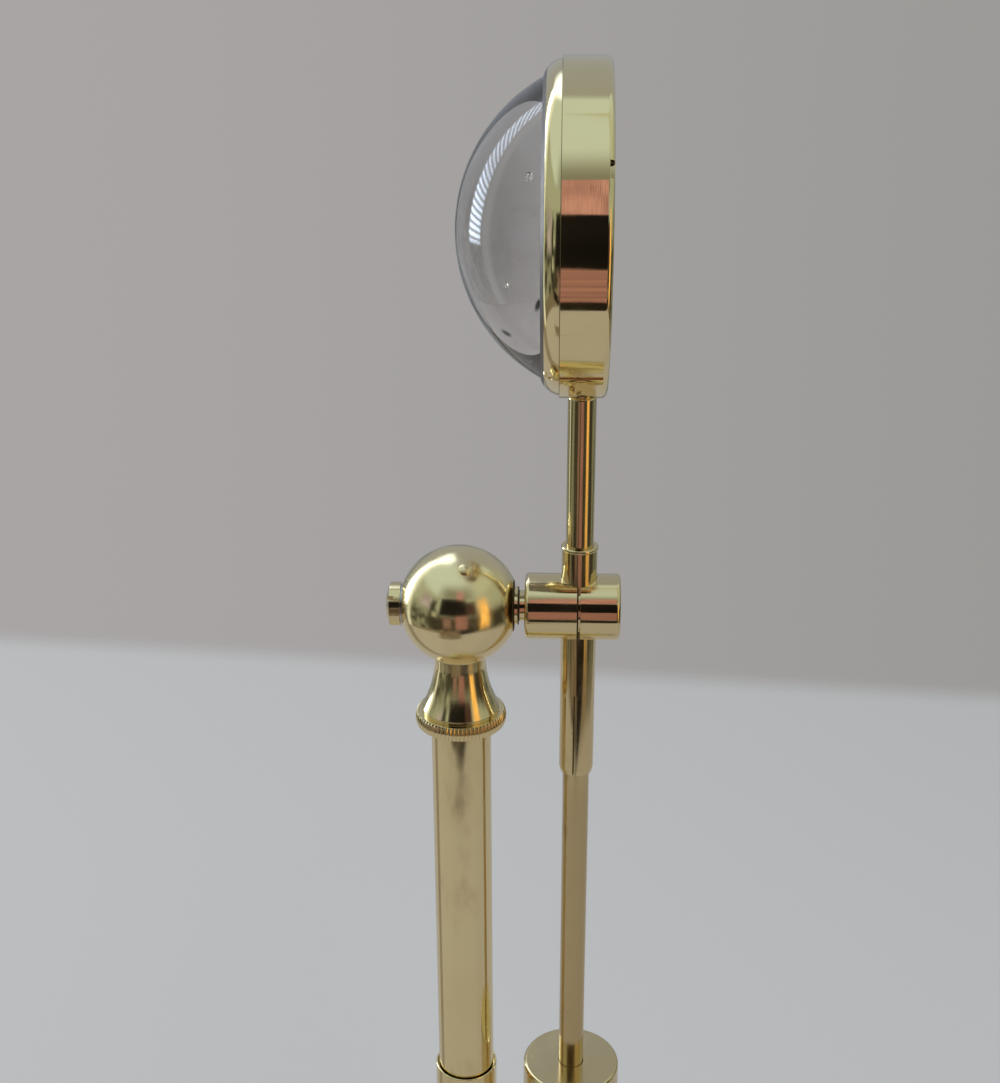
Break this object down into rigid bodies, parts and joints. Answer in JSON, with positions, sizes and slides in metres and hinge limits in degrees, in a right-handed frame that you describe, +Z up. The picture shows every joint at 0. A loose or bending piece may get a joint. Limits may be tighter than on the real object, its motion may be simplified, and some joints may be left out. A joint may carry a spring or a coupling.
{
  "type": "stand magnifier",
  "caption": "Bull's-eye glass in a round cell on a counterweighted rod, held by a ball-topped telescopic pillar with a cross clamp and a weighted round base.",
  "frame": {"origin": "centre of the base's underside, on the pillar's axis", "axes": "+Z up along the pillar, +X from the pillar towards the lens rod, +Y away from the picture's camera"},
  "size_m": [0.105, 0.105, 0.4042],
  "materials": {
    "brass": "polished and lacquered",
    "screw_steel": "turned, plain",
    "iron": "turned and blacked",
    "baize": "wool baize",
    "glass": "clear, polished",
    "packing": "thin packing ring"
  },
  "bodies": {
    "base": {"base_pad": "baize", "base_foot": "brass", "base_ballast": "iron", "base_screws": "screw_steel", "base_collar": "brass", "outer_tube": "brass", "upper_guide_bush": "brass"},
    "pillar": {"inner_tube": "brass", "lower_guide_bush": "brass", "knurled_ring": "brass"},
    "ball": {"ball_head": "brass", "ball_plug": "brass", "swivel_washer": "screw_steel", "swivel_screw": "screw_steel"},
    "clamp": {"clamp_body": "brass", "eye_bolt": "brass", "friction_washer": "brass", "spring_washer": "screw_steel", "tension_screw": "brass"},
    "sleeve": {"split_sleeve": "brass"},
    "rod": {"lens_rod": "brass", "cell_stud": "brass", "lens_cell": "brass", "bezel_ring": "brass", "bezel_lock_screw": "brass", "lens": "glass", "lens_packing": "packing", "retaining_ring": "brass", "counterweight": "brass", "counterweight_screw": "screw_steel"}
  },
  "joints": [
    {"name": "pillar_slide", "type": "slide", "parent": "base", "child": "pillar", "axis": [0, 0, 1], "range_m": [-0.09, 0.0175]},
    {"name": "head_swivel", "type": "hinge", "parent": "pillar", "child": "ball", "pos_m": [0, 0, 0.2556], "axis": [0, 0, 1], "continuous": true},
    {"name": "arm_tilt", "type": "hinge", "parent": "ball", "child": "clamp", "pos_m": [0, 0, 0.2827], "axis": [1, 0, 0], "range_deg": [-120, 120]},
    {"name": "sleeve_turn", "type": "hinge", "parent": "clamp", "child": "sleeve", "pos_m": [0.0277, 0, 0.2827], "axis": [0, 0, 1], "continuous": true},
    {"name": "rod_slide", "type": "slide", "parent": "sleeve", "child": "rod", "axis": [0, 0, -1], "range_m": [-0.0865, 0.0345]}
  ]
}
